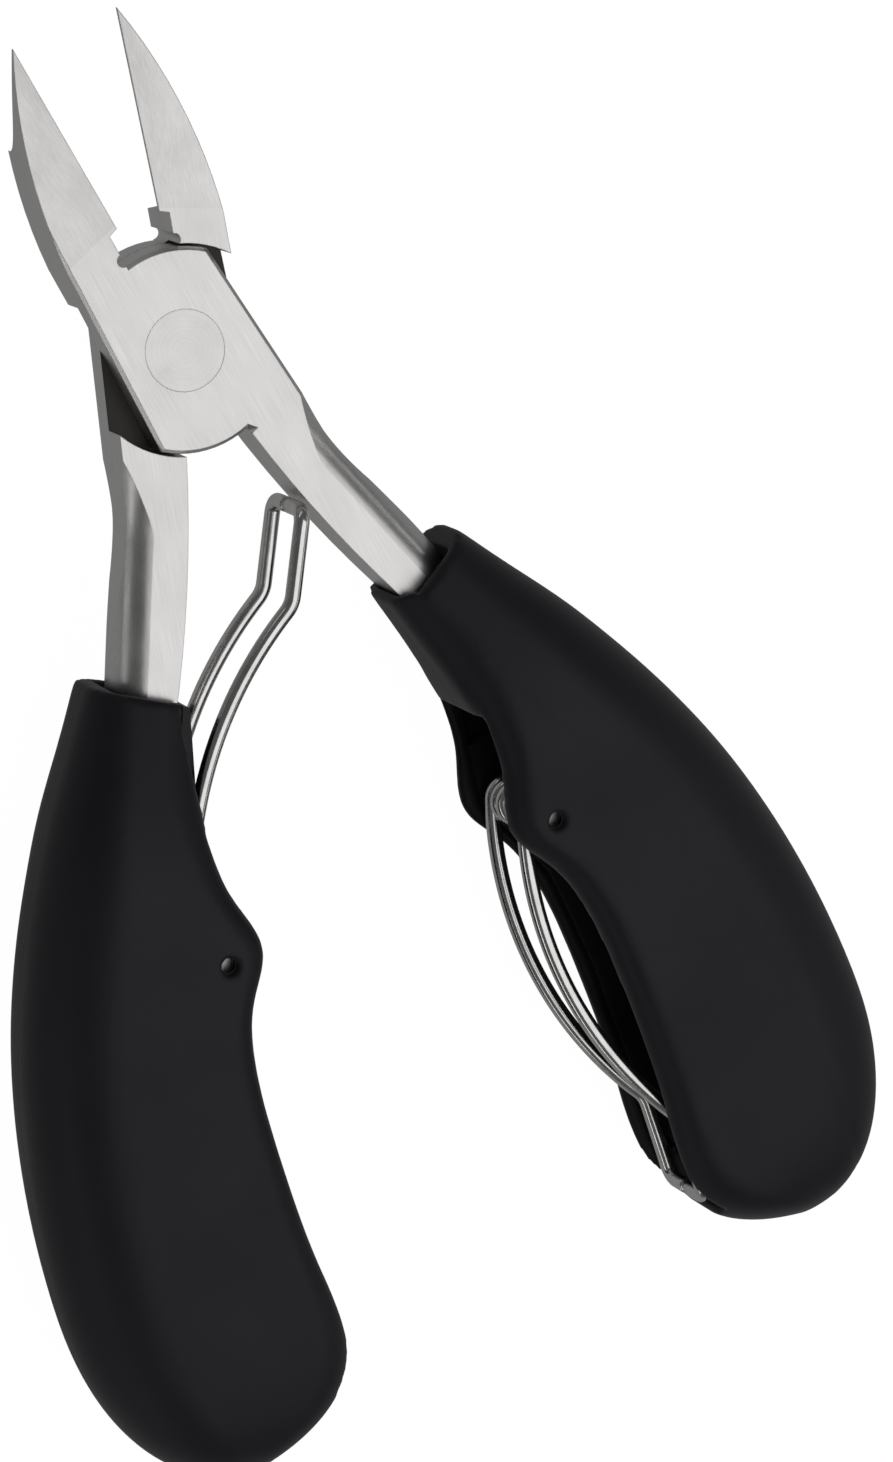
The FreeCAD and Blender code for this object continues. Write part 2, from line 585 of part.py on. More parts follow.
def bent_leg():
    """The axis of one spring leg, from the coil to the middle of the cross bar."""
    def heading(angle):
        turn = math.radians(angle)
        return FreeCAD.Vector(math.sin(turn), math.cos(turn), 0)

    angle = -size("bow_start")
    level = FreeCAD.Vector(0, 0, size("leg_half"))
    point = heading(angle - 90) * size("coil") + level
    edges = []
    start = point - heading(angle) * size("leg_root")
    edges.append(Part.LineSegment(start, point).toShape())
    for radius, turn in ((size("bow_radius"), size("bow_turn")), (size("knee_radius"), -size("knee_turn"))):
        side = 1 if turn > 0 else -1
        centre = point + heading(angle + 90 * side) * radius
        middle = centre + heading(angle + turn / 2 - 90 * side) * radius
        finish = centre + heading(angle + turn - 90 * side) * radius
        edges.append(Part.Arc(point, middle, finish).toShape())
        point = finish
        angle += turn
    finish = point + heading(angle) * size("tip_run")
    edges.append(Part.LineSegment(point, finish).toShape())
    corner = size("corner_radius")
    down = FreeCAD.Vector(0, 0, -1)
    centre = finish + down * corner
    middle = centre + (heading(angle) - down) * corner / math.sqrt(2)
    bar = centre + heading(angle) * corner
    edges.append(Part.Arc(finish, middle, bar).toShape())
    end = FreeCAD.Vector(bar.x, bar.y, size("bar_gap"))
    edges.append(Part.LineSegment(bar, end).toShape())
    return Part.Wire(edges), heading(-size("bow_start"))


def build_spring(name, side, lean):
    """A double-leg wire spring wound round its pin, in a frame centred on the pin with the legs
    towards +Y. Its wire bends in three dimensions, so its shape is set here and not sketched."""
    path, along = bent_leg()
    wire = size("wire")
    circle = Part.Wire(Part.Circle(path.Vertexes[0].Point, along, wire).toShape())
    leg = path.makePipeShell([circle], True, False)
    turns = round(size("coil_turns"))
    rings = []
    for number in range(turns):
        level = (number - (turns - 1) / 2) * size("coil_pitch")
        rings.append(Part.makeTorus(size("coil"), wire, FreeCAD.Vector(0, 0, level)))
    shape = rings[0].fuse(rings[1:])
    shape = shape.fuse([leg, leg.mirror(FreeCAD.Vector(), FreeCAD.Vector(0, 0, 1))])
    if side > 0:
        shape = shape.mirror(FreeCAD.Vector(), FreeCAD.Vector(1, 0, 0))
    spring = doc.addObject("Part::Feature", name)
    spring.Label = name
    spring.Shape = shape.Solids[0]
    place(spring, "%d * (half_opening + %s)" % (side, lean), pin_place(side))
    return spring


parts = [build_lever("front_lever", 1, 1), build_lever("rear_lever", -1, -1), build_rivet("pivot_rivet")]
for word, side, lean in (("right", 1, "stowed_lean"), ("left", -1, "raised_lean")):
    parts.append(build_liner(word + "_grip_liner", side))
    parts.append(build_sleeve(word + "_grip_sleeve", side))
    parts.append(build_pin(word + "_spring_pin", side))
    parts.append(build_spring(word + "_spring", side, lean))
doc.recompute()

for item in doc.Objects:
    if "Invalid" in item.State or "Error" in item.State:
        raise RuntimeError("%s failed: %s" % (item.Name, item.State))
for part in parts:
    if part.Shape.isNull() or not part.Shape.isValid() or len(part.Shape.Solids) != 1:
        raise RuntimeError("%s is not one valid solid" % part.Label)

os.makedirs("parts", exist_ok=True)
for part in parts:
    part.Shape.exportStep("parts/%s.step" % part.Label)
    box = part.Shape.BoundBox
    extent = "%.1f x %.1f x %.1f" % (box.XLength, box.YLength, box.ZLength)
    print("%s %.0f mm3, %s mm" % (part.Label, part.Shape.Volume, extent))
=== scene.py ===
import json
import math

import bmesh
import bpy
from mathutils import Matrix, Vector


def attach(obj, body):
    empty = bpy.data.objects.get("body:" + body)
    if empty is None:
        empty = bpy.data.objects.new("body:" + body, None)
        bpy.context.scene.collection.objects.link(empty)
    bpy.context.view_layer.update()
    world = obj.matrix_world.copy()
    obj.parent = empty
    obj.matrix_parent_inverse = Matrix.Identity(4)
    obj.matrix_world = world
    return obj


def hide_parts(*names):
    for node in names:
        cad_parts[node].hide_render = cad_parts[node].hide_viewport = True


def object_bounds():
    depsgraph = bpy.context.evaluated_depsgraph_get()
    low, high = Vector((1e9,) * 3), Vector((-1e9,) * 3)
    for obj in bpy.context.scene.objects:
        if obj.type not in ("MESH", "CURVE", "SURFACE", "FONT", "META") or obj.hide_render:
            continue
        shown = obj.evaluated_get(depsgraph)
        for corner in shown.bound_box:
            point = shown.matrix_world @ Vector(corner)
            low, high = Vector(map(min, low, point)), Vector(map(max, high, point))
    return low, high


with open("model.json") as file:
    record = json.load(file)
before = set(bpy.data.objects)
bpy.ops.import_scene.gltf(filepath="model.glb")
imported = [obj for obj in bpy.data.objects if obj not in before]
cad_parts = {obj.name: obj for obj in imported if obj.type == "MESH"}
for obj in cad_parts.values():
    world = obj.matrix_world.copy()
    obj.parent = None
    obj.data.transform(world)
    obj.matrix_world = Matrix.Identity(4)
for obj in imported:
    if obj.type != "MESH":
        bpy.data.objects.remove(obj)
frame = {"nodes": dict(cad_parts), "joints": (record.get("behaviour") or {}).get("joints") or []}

CAD_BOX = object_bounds()
MM = 0.001

# Each lever's own frame is turned about the pivot by half of what the tool closes through.
JOINTS = {joint["name"]: joint for joint in frame["joints"]}
HALF_OPENING = JOINTS["lever_pivot"]["range_deg"][1] / 2
MID_HEIGHT = JOINTS["lever_pivot"]["pos_m"][2]
SIDES = {"right": 1, "left": -1}
BODY_OF_SIDE = {"right": "front_half", "left": "rear_half"}

# The camera looks down on the tool, which lies flat. Its direction is given from the point it
# looks at: azimuth from +X, elevation above the floor, and the roll of its upright.
CAMERA_TARGET = Vector((12.45, -44.9, 3.5)) * MM
CAMERA_AZIMUTH = 132.367
CAMERA_ELEVATION = 68.0
CAMERA_ROLL = 19.471
CAMERA_DISTANCE = 603.8 * MM
CAMERA_LENS = 155.52
SENSOR_WIDTH = 36.0
CAMERA_CLIP = (0.01, 20.0)

# Wire spring, millimetres and degrees, in its own frame: pin axis Z, legs towards +Y.
WIRE_RADIUS = 0.75
COIL_RADIUS = 1.75
LEG_LEVEL = 4.4
BOW_START = 22.8
BOW_RADIUS = 40.0
BOW_TURN = 50.3
KNEE_RADIUS = 3.0
KNEE_TURN = 33.0
TIP_RUN = 6.7
CORNER_RADIUS = 1.3
BAR_GAP = 0.35
BRIDGE_LEVEL = 0.78
BRIDGE_RUN = 0.6
SPRING_LEAN = {"right": 175.2, "left": 23.3}

# Points round the wire and steps along its axis. Its ends are bevelled by a share of its
# radius, with one more ring at a share of that bevel.
RING_POINTS = 20
COIL_STEPS = 40
BOW_STEPS = 36
KNEE_STEPS = 10
TIP_STEPS = 5
QUARTER_STEPS = 8
END_BEVEL = 0.25
END_ROUNDING = 0.3

# The sleeves' remesh and the smoothing after it.
VOXEL = 0.36 * MM
RELAX_FACTOR = 0.5
RELAX_ROUNDS = 6

# Area lights: name, azimuth, elevation, distance, width and height in metres, watts.
LIGHTS = [
    ("overhead", -47.6, 68.0, 0.9, 1.0, 1.0, 2.75),
    ("left_strip", 197.0, 17.0, 0.9, 1.1, 0.13, 0.62),
    ("right_strip", -20.0, 18.0, 0.9, 0.9, 0.10, 0.3),
    ("far_strip", 95.0, 22.0, 0.9, 0.8, 0.14, 0.2),
]
WORLD_GLOW = 0.08
FLOOR_SIZE = 4.0
FLOOR_GAP = 0.05 * MM
FLOOR_GREY = 0.92
FLOOR_GLOW = 1.06
FLOOR_GLOW_SHARE = 0.93
FLOOR_REFLECTED = 0.22

# Colours, as linear red, green and blue.
STEEL_DARK = (0.66, 0.65, 0.64)
STEEL_LIGHT = (0.82, 0.81, 0.80)
# Painted shade: the dark colour laid on the level faces between the laps, where the recess lies in
# shadow.
STEEL_PAINTED_SHADE = (0.035, 0.033, 0.032)
RIVET_DARK = (0.66, 0.655, 0.65)
RIVET_LIGHT = (0.80, 0.79, 0.78)
PIN_DARK = (0.45, 0.44, 0.43)
PIN_LIGHT = (0.62, 0.61, 0.60)
WIRE_DARK = (0.68, 0.67, 0.66)
WIRE_LIGHT = (0.84, 0.83, 0.82)
WIRE_PLAIN = (0.80, 0.79, 0.78)
RUBBER_DARK = (0.0118, 0.0102, 0.0150)
RUBBER_LIGHT = (0.0165, 0.0142, 0.0200)
PLASTIC_DARK = (0.010, 0.0095, 0.010)
PLASTIC_LIGHT = (0.014, 0.0132, 0.0138)

# Noise patterns, as repeats to the metre along X, Y and Z. Grinding lines run along Y until
# they are turned. Their values mostly lie in the range at the end.
FINE_LINES = (11000, 170, 11000)
BROAD_LINES = (2600, 60, 2600)
STEEL_CLOUD = (220, 120, 220)
RIVET_RINGS = 9000.0
RIVET_CLOUD = (400, 400, 400)
WIRE_SCUFFS = (3000, 3000, 3000)
WIRE_CLOUD = (500, 500, 500)
RUBBER_GRAIN = (5200, 5200, 5200)
RUBBER_PEBBLE = (1300, 1300, 1300)
RUBBER_CLOUD = (70, 70, 70)
NOISE_RANGE = (0.3, 0.7)

# The half thickness of the painted shade on the level faces between the laps, the least upward
# part of a level face's normal, and the softening of the steel's edges.
PAINTED_SHADE_HALF = 0.12 * MM
LEVEL_FACE = 0.9
EDGE_SOFTNESS = 0.14 * MM
BEVEL_SAMPLES = 6

# The neck of the right grip, in its lever's frame, millimetres: distance below the pivot, inner
# side, half depth, corner radius, and the wall's inner boundary beside and over the shank's pocket.
NECK = [
    (31.3, 5.5, 5.8, 3.5, 7.1, 6.15),
    (33.0, 5.7, 6.2, 3.8, 8.1, 6.5),
    (35.0, 5.95, 6.65, 4.3, 9.0, 7.0),
    (37.0, 6.2, 7.1, 4.5, 9.8, 7.5),
    (39.0, 6.45, 7.5, 4.4, 10.4, 7.95),
    (40.2, 6.6, 7.75, 4.4, 10.7, 10.7),
    (43.0, 6.8, 8.2, 4.0, 11.3, 11.3),
    (45.2, 7.0, 8.5, 3.5, 11.7, 11.7),
]
NECK_HALF = 5.5
NECK_INSET = 0.1
NECK_STEPS = 14
POCKET_HALF = 3.8

# The mould seam round each grip, at half its height.
SEAM_HALF = 0.16 * MM
SEAM_DEPTH = 0.05 * MM

# The mould line on the right grip's front face: an arc in the row's XY plane.
CREASE_CENTRE = Vector((-86.6, -103.4)) * MM
CREASE_RADIUS = 122.3 * MM
CREASE_TOP = -38.0 * MM
CREASE_ABOVE = 4.0 * MM
CREASE_WIDTH = 0.45 * MM
CREASE_DEPTH = 0.09 * MM
CREASE_REACH = 3


# ---- helpers ------------------------------------------------------------------------------

def on_sphere(azimuth, elevation):
    """The unit vector towards an azimuth and elevation given in degrees."""
    around = math.radians(azimuth)
    up = math.radians(elevation)
    return Vector((math.cos(up) * math.cos(around), math.cos(up) * math.sin(around), math.sin(up)))


def aim(backwards, upright, roll=0.0):
    """The rotation of something that looks along its own -Z, rolled clockwise by an angle."""
    upward = (upright - backwards * upright.dot(backwards)).normalized()
    sideways = upward.cross(backwards)
    turn = math.radians(roll)
    up = upward * math.cos(turn) + sideways * math.sin(turn)
    right = up.cross(backwards)
    return Matrix((right, up, backwards)).transposed().to_4x4()


def lever_frame(side):
    """From a lever's own frame, centred on the pivot, to the row's frame."""
    turn = Matrix.Rotation(math.radians(side * HALF_OPENING), 4, "Z")
    return Matrix.Translation((0, 0, MID_HEIGHT)) @ turn


def add_object(name, mesh):
    piece = bpy.data.objects.new(name, mesh)
    bpy.context.scene.collection.objects.link(piece)
    return piece


def apply_modifiers(piece):
    """Bake a piece's modifiers into its mesh."""
    graph = bpy.context.evaluated_depsgraph_get()
    mesh = bpy.data.meshes.new_from_object(piece.evaluated_get(graph))
    piece.modifiers.clear()
    piece.data = mesh


def bridge_loops(bm, loops):
    """Join each closed loop of vertices to the next one with four-sided faces."""
    for one, other in zip(loops, loops[1:]):
        for number in range(len(one)):
            after = (number + 1) % len(one)
            bm.faces.new((one[number], one[after], other[after], other[number]))


def finished_mesh(name, bm):
    """A mesh from a bmesh, which is then freed."""
    mesh = bpy.data.meshes.new(name)
    bm.to_mesh(mesh)
    bm.free()
    return mesh


def smooth_faces(mesh):
    mesh.polygons.foreach_set("use_smooth", [True] * len(mesh.polygons))
    mesh.update()


# ---- camera, lights and floor --------------------------------------------------------------

def add_camera():
    data = bpy.data.cameras.new("camera")
    data.lens = CAMERA_LENS
    data.sensor_width = SENSOR_WIDTH
    data.sensor_fit = "AUTO"
    data.clip_start, data.clip_end = CAMERA_CLIP
    backwards = on_sphere(CAMERA_AZIMUTH, CAMERA_ELEVATION)
    camera = add_object("camera", data)
    place = Matrix.Translation(CAMERA_TARGET + backwards * CAMERA_DISTANCE)
    camera.matrix_world = place @ aim(backwards, Vector((0, 1, 0)), CAMERA_ROLL)
    bpy.context.scene.camera = camera


def add_light(name, azimuth, elevation, distance, width, height, energy):
    data = bpy.data.lights.new(name, "AREA")
    data.shape = "RECTANGLE"
    data.size = width
    data.size_y = height
    data.energy = energy
    light = add_object(name, data)
    direction = on_sphere(azimuth, elevation)
    place = Matrix.Translation(CAMERA_TARGET + direction * distance)
    light.matrix_world = place @ aim(direction, Vector((0, 0, 1)))


def add_floor():
    """A pale floor: white to the camera, and a dark grey in what the metal reflects."""
    height = CAD_BOX[0][2] - FLOOR_GAP
    bm = bmesh.new()
    bmesh.ops.create_grid(bm, x_segments=1, y_segments=1, size=FLOOR_SIZE)
    mesh = finished_mesh("floor", bm)
    floor = add_object("floor", mesh)
    floor.location = (0, 0, height)
    material = bpy.data.materials.new("floor")
    material.use_nodes = True
    tree = material.node_tree
    tree.nodes.clear()
    output = tree.nodes.new("ShaderNodeOutputMaterial")
    paper = tree.nodes.new("ShaderNodeBsdfDiffuse")
    paper.inputs["Color"].default_value = (FLOOR_GREY, FLOOR_GREY, FLOOR_GREY, 1)
    glow = tree.nodes.new("ShaderNodeEmission")
    glow.inputs["Strength"].default_value = FLOOR_GLOW
    seen = tree.nodes.new("ShaderNodeMixShader")
    seen.inputs["Fac"].default_value = FLOOR_GLOW_SHARE
    reflected = tree.nodes.new("ShaderNodeEmission")
    reflected.inputs["Strength"].default_value = FLOOR_REFLECTED
    rays = tree.nodes.new("ShaderNodeLightPath")
    choice = tree.nodes.new("ShaderNodeMixShader")
    tree.links.new(paper.outputs[0], seen.inputs[1])
    tree.links.new(glow.outputs[0], seen.inputs[2])
    tree.links.new(rays.outputs["Is Camera Ray"], choice.inputs["Fac"])
    tree.links.new(reflected.outputs[0], choice.inputs[1])
    tree.links.new(seen.outputs[0], choice.inputs[2])
    tree.links.new(choice.outputs[0], output.inputs["Surface"])
    mesh.materials.append(material)


def add_studio():
    scene = bpy.context.scene
    scene.view_settings.view_transform = "Standard"
    world = bpy.data.worlds.new("studio")
    world.use_nodes = True
    sky = world.node_tree.nodes["Background"]
    sky.inputs["Color"].default_value = (1, 1, 1, 1)
    sky.inputs["Strength"].default_value = WORLD_GLOW
    scene.world = world
    for light in LIGHTS:
        add_light(*light)
    add_floor()


# ---- materials -----------------------------------------------------------------------------

class Nodes:
    """A short way to write a node tree for a Principled material."""

    def __init__(self, name, colour, metallic, roughness):
        self.material = bpy.data.materials.new(name)
        self.material.use_nodes = True
        self.tree = self.material.node_tree
        self.shader = self.tree.nodes["Principled BSDF"]
        self.shader.inputs["Base Color"].default_value = (*colour, 1)
        self.shader.inputs["Metallic"].default_value = metallic
        self.shader.inputs["Roughness"].default_value = roughness

    def add(self, kind, **settings):
        node = self.tree.nodes.new("ShaderNode" + kind)
        for key, value in settings.items():
            setattr(node, key, value)
        return node

    def link(self, start, end):
        self.tree.links.new(start, end)

    def calculate(self, operation, *operands):
        """A Math node's result, from operands that are sockets or numbers."""
        node = self.add("Math", operation=operation)
        for socket, operand in zip(node.inputs, operands):
            if isinstance(operand, (int, float)):
                socket.default_value = operand
            else:
                self.link(operand, socket)
        return node.outputs[0]

    def axes(self, vector):
        """A vector's X, Y and Z."""
        apart = self.add("SeparateXYZ")
        self.link(vector, apart.inputs["Vector"])
        return apart.outputs

    def position(self):
        return self.add("TexCoord").outputs["Object"]

    def place(self, turn, scale):
        """Positions in the row's frame, turned about Z and stretched."""
        turned = self.add("Mapping", vector_type="POINT")
        turned.inputs["Rotation"].default_value = (0, 0, math.radians(-turn))
        stretched = self.add("Mapping", vector_type="POINT")
        stretched.inputs["Scale"].default_value = scale
        self.link(self.position(), turned.inputs["Vector"])
        self.link(turned.outputs["Vector"], stretched.inputs["Vector"])
        return stretched.outputs["Vector"]

    def noise(self, where, detail, scale=1.0, roughness=0.55):
        node = self.add("TexNoise")
        node.inputs["Scale"].default_value = scale
        node.inputs["Detail"].default_value = detail
        node.inputs["Roughness"].default_value = roughness
        self.link(where, node.inputs["Vector"])
        return node.outputs["Fac"]

    def spread(self, value, low, high):
        """The usual range of a noise turned into the one from low to high."""
        node = self.add("MapRange")
        node.inputs["From Min"].default_value = NOISE_RANGE[0]
        node.inputs["From Max"].default_value = NOISE_RANGE[1]
        node.inputs["To Min"].default_value = low
        node.inputs["To Max"].default_value = high
        self.link(value, node.inputs["Value"])
        return node.outputs["Result"]

    def roughen(self, value, low, high):
        self.link(self.spread(value, low, high), self.shader.inputs["Roughness"])

    def tint(self, value, dark, light):
        node = self.add("Mix", data_type="RGBA")
        node.inputs[6].default_value = (*dark, 1)
        node.inputs[7].default_value = (*light, 1)
        self.link(value, node.inputs[0])
        self.link(node.outputs[2], self.shader.inputs["Base Color"])
        self.colour = node.outputs[2]

    def darken(self, mask, dark):
        """Lay another colour over the tint where a mask is 1."""
        node = self.add("Mix", data_type="RGBA")
        node.inputs[7].default_value = (*dark, 1)
        self.link(self.colour, node.inputs[6])
        self.link(mask, node.inputs[0])
        self.link(node.outputs[2], self.shader.inputs["Base Color"])

    def height_off(self, level):
        """How far a point is from a level, up or down."""
        shifted = self.calculate("SUBTRACT", self.axes(self.position())["Z"], level)
        return self.calculate("ABSOLUTE", shifted)

    def line_at(self, distance, half):
        """1 where a distance is 0, falling smoothly to 0 at half a line's width."""
        node = self.add("MapRange", interpolation_type="SMOOTHSTEP")
        node.inputs["From Min"].default_value = 0.0
        node.inputs["From Max"].default_value = half
        node.inputs["To Min"].default_value = 1.0
        node.inputs["To Max"].default_value = 0.0
        self.link(distance, node.inputs["Value"])
        return node.outputs["Result"]

    def in_layer(self, height, half):
        """1 on level faces that lie within a thin layer, else 0."""
        near = self.calculate("COMPARE", self.axes(self.position())["Z"], height, half)
        normal = self.add("NewGeometry").outputs["True Normal"]
        slope = self.calculate("ABSOLUTE", self.axes(normal)["Z"])
        level = self.calculate("GREATER_THAN", slope, LEVEL_FACE)
        return self.calculate("MULTIPLY", near, level)

    def bumps(self, layers, edge=None):
        """Stack bump layers, each a value, a depth in metres and a strength, over softened edges."""
        normal = None
        if edge is not None:
            bevel = self.add("Bevel", samples=BEVEL_SAMPLES)
            bevel.inputs["Radius"].default_value = edge
            normal = bevel.outputs["Normal"]
        for value, depth, strength in layers:
            bump = self.add("Bump")
            bump.inputs["Distance"].default_value = depth
            bump.inputs["Strength"].default_value = strength
            self.link(value, bump.inputs["Height"])
            if normal is not None:
                self.link(normal, bump.inputs["Normal"])
            normal = bump.outputs["Normal"]
        self.link(normal, self.shader.inputs["Normal"])


def brushed_steel(name, turn, dark=STEEL_DARK, light=STEEL_LIGHT):
    """Satin stainless steel with fine grinding lines along a direction in the XY plane. The level
    faces in the plane between the laps carry a painted shade, dark where the recess lies in shadow."""
    nodes = Nodes(name, light, 1.0, 0.3)
    lines = nodes.noise(nodes.place(turn, FINE_LINES), 2.0)
    broad = nodes.noise(nodes.place(turn, BROAD_LINES), 2.0)
    cloud = nodes.noise(nodes.place(turn, STEEL_CLOUD), 3.0)
    nodes.tint(nodes.spread(lines, 0.35, 1.0), dark, light)
    # Painted shade: the level faces in the lap plane are coloured dark to stand in for the recess's
    # shadow.
    nodes.darken(nodes.in_layer(MID_HEIGHT, PAINTED_SHADE_HALF), STEEL_PAINTED_SHADE)
    nodes.roughen(cloud, 0.27, 0.37)
    nodes.bumps([(lines, 0.0035 * MM, 0.5), (broad, 0.006 * MM, 0.4)], edge=EDGE_SOFTNESS)
    return nodes.material


def turned_steel(name):
    """The rivet's faces: fine rings about the pivot."""
    nodes = Nodes(name, RIVET_LIGHT, 1.0, 0.3)
    across = nodes.axes(nodes.position())
    squares = [nodes.calculate("POWER", across[axis], 2.0) for axis in "XY"]
    radius = nodes.calculate("SQRT", nodes.calculate("ADD", *squares))
    flat = nodes.add("CombineXYZ")
    nodes.link(radius, flat.inputs["X"])
    rings = nodes.noise(flat.outputs["Vector"], 2.0, RIVET_RINGS)
    cloud = nodes.noise(nodes.place(0, RIVET_CLOUD), 3.0)
    nodes.tint(nodes.spread(rings, 0.2, 1.0), RIVET_DARK, RIVET_LIGHT)
    nodes.roughen(cloud, 0.26, 0.36)
    nodes.bumps([(rings, 0.004 * MM, 0.5)])
    return nodes.material


def polished_wire(name):
    """Drawn stainless wire: bright, with faint scuffs."""
    nodes = Nodes(name, WIRE_PLAIN, 1.0, 0.16)
    scuff = nodes.noise(nodes.place(0, WIRE_SCUFFS), 4.0, roughness=0.7)
    cloud = nodes.noise(nodes.place(0, WIRE_CLOUD), 3.0)
    nodes.tint(nodes.spread(cloud, 0.2, 1.0), WIRE_DARK, WIRE_LIGHT)
    nodes.roughen(scuff, 0.12, 0.24)
    nodes.bumps([(scuff, 0.002 * MM, 0.4)])
    return nodes.material


def soft_rubber(name, dark, light, smooth, rough):
    """Matte moulded rubber: a fine sandblasted grain, and faint cloudy wear in its sheen."""
    nodes = Nodes(name, dark, 0.0, 0.55)
    grain = nodes.noise(nodes.place(0, RUBBER_GRAIN), 2.0)
    pebble = nodes.noise(nodes.place(0, RUBBER_PEBBLE), 3.0)
    cloud = nodes.noise(nodes.place(0, RUBBER_CLOUD), 4.0)
    nodes.tint(nodes.spread(cloud, 0.0, 1.0), dark, light)
    nodes.roughen(cloud, smooth, rough)
    nodes.shader.inputs["Specular IOR Level"].default_value = 0.3
    nodes.shader.inputs["Sheen Weight"].default_value = 0.14
    nodes.shader.inputs["Sheen Roughness"].default_value = 0.4
    seam = nodes.line_at(nodes.height_off(MID_HEIGHT), SEAM_HALF)
    nodes.bumps([(seam, SEAM_DEPTH, 0.8), (grain, 0.010 * MM, 0.35), (pebble, 0.012 * MM, 0.25)])
    return nodes.material


# ---- detailed pieces -----------------------------------------------------------------------

def heading(angle):
    """The level direction at an angle clockwise from +Y."""
    turn = math.radians(angle)
    return Vector((math.sin(turn), math.cos(turn), 0))


def arc(centre, start, turn, steps):
    """Points along a level arc from start round centre, clockwise for a positive turn."""
    arm = start - centre
    return [centre + Matrix.Rotation(math.radians(-turn * step / steps), 3, "Z") @ arm
            for step in range(1, steps + 1)]


def quarter_turn():
    """The sine and cosine at even steps through a quarter turn, after its start."""
    turns = [math.radians(90 * step / QUARTER_STEPS) for step in range(1, QUARTER_STEPS + 1)]
    return [(math.sin(turn), math.cos(turn)) for turn in turns]


def half_coil(start_angle):
    """From the leg's level down to the middle: the coil, wound at one wire's pitch, and half of
    the bridge that joins it to the other coil."""
    turns = (LEG_LEVEL - BRIDGE_LEVEL) / (2 * WIRE_RADIUS)
    steps = round(turns * COIL_STEPS)
    points = []
    for step in range(1, steps + 1):
        share = step / steps
        around = math.radians(start_angle + 360 * turns * share)
        height = LEG_LEVEL + (BRIDGE_LEVEL - LEG_LEVEL) * share
        points.append(Vector((COIL_RADIUS * math.cos(around), COIL_RADIUS * math.sin(around), height)))
    last = math.radians(start_angle + 360 * turns)
    along = Vector((-math.sin(last), math.cos(last), 0))
    start = points[-1] + along * BRIDGE_RUN
    points.append(start)
    centre = Vector((start.x, start.y, 0))
    for sine, cosine in quarter_turn():
        rise = Vector((0, 0, BRIDGE_LEVEL * cosine))
        points.append(centre + along * BRIDGE_LEVEL * sine + rise)
    return points


def half_spring():
    """The axis of half a spring, from the middle of its bridge to the wire's end in the cross bar."""
    angle = -BOW_START
    point = heading(angle - 90) * COIL_RADIUS + Vector((0, 0, LEG_LEVEL))
    leg = [point]
    for radius, turn, steps in ((BOW_RADIUS, BOW_TURN, BOW_STEPS), (KNEE_RADIUS, -KNEE_TURN, KNEE_STEPS)):
        side = 1 if turn > 0 else -1
        centre = point + heading(angle + 90 * side) * radius
        leg += arc(centre, point, turn, steps)
        point = leg[-1]
        angle += turn
    along = heading(angle)
    for step in range(1, TIP_STEPS + 1):
        leg.append(point + along * TIP_RUN * step / TIP_STEPS)
    point = leg[-1]
    for sine, cosine in quarter_turn():
        drop = Vector((0, 0, CORNER_RADIUS * (1 - cosine)))
        leg.append(point + along * CORNER_RADIUS * sine - drop)
    point = leg[-1]
    leg.append(Vector((point.x, point.y, (point.z + BAR_GAP) / 2)))
    leg.append(Vector((point.x, point.y, BAR_GAP)))
    return half_coil(180 + BOW_START)[::-1] + leg


def add_ring(bm, centre, tangent, across, radius):
    """A ring of vertices round a tangent."""
    up = tangent.cross(across)
    ring = []
    for step in range(RING_POINTS):
        turn = 2 * math.pi * step / RING_POINTS
        ring.append(bm.verts.new(centre + (across * math.cos(turn) + up * math.sin(turn)) * radius))
    return ring


def tube(name, points, radius):
    """A round wire along points, with small rounded ends."""
    last = len(points) - 1
    bevel = radius * END_BEVEL
    rounding = bevel * END_ROUNDING
    end_rings = [(0.0, radius - bevel), (rounding, radius - rounding), (bevel, radius)]
    bm = bmesh.new()
    loops = []
    side = None
    for number, point in enumerate(points):
        tangent = (points[min(number + 1, last)] - points[max(number - 1, 0)]).normalized()
        if side is None:
            side = tangent.orthogonal().normalized()
        side = (side - tangent * side.dot(tangent)).normalized()
        rings = [(0.0, radius)]
        if number == 0:
            rings = end_rings
        elif number == last:
            rings = [(-inset, size) for inset, size in reversed(end_rings)]
        for shift, size in rings:
            loops.append(add_ring(bm, point + tangent * shift, tangent, side, size))
    bridge_loops(bm, loops)
    bm.faces.new(list(reversed(loops[0])))
    bm.faces.new(loops[-1])
    bmesh.ops.recalc_face_normals(bm, faces=bm.faces)
    mesh = finished_mesh(name, bm)
    smooth_faces(mesh)
    return mesh


def add_spring(word, material):
    """One spring of a single wire: two bowed legs, a mirrored pair of coils and a split cross bar."""
    side = SIDES[word]
    half = half_spring()
    mirrored = [Vector((point.x, point.y, -point.z)) for point in half]
    points = list(reversed(mirrored))[:-1] + half
    mesh = tube(word + "_spring_wire", [point * MM for point in points], WIRE_RADIUS * MM)
    if side > 0:
        mesh.transform(Matrix.Scale(-1, 4, (1, 0, 0)))
        mesh.flip_normals()
    turn = side * (HALF_OPENING + SPRING_LEAN[word])
    pin = Vector(JOINTS[word + "_spring_hinge"]["pos_m"])
    mesh.transform(Matrix.Translation(pin) @ Matrix.Rotation(math.radians(turn), 4, "Z"))
    mesh.materials.append(material)
    piece = add_object(word + "_spring_wire", mesh)
    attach(piece, word + "_spring")
    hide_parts(word + "_spring")


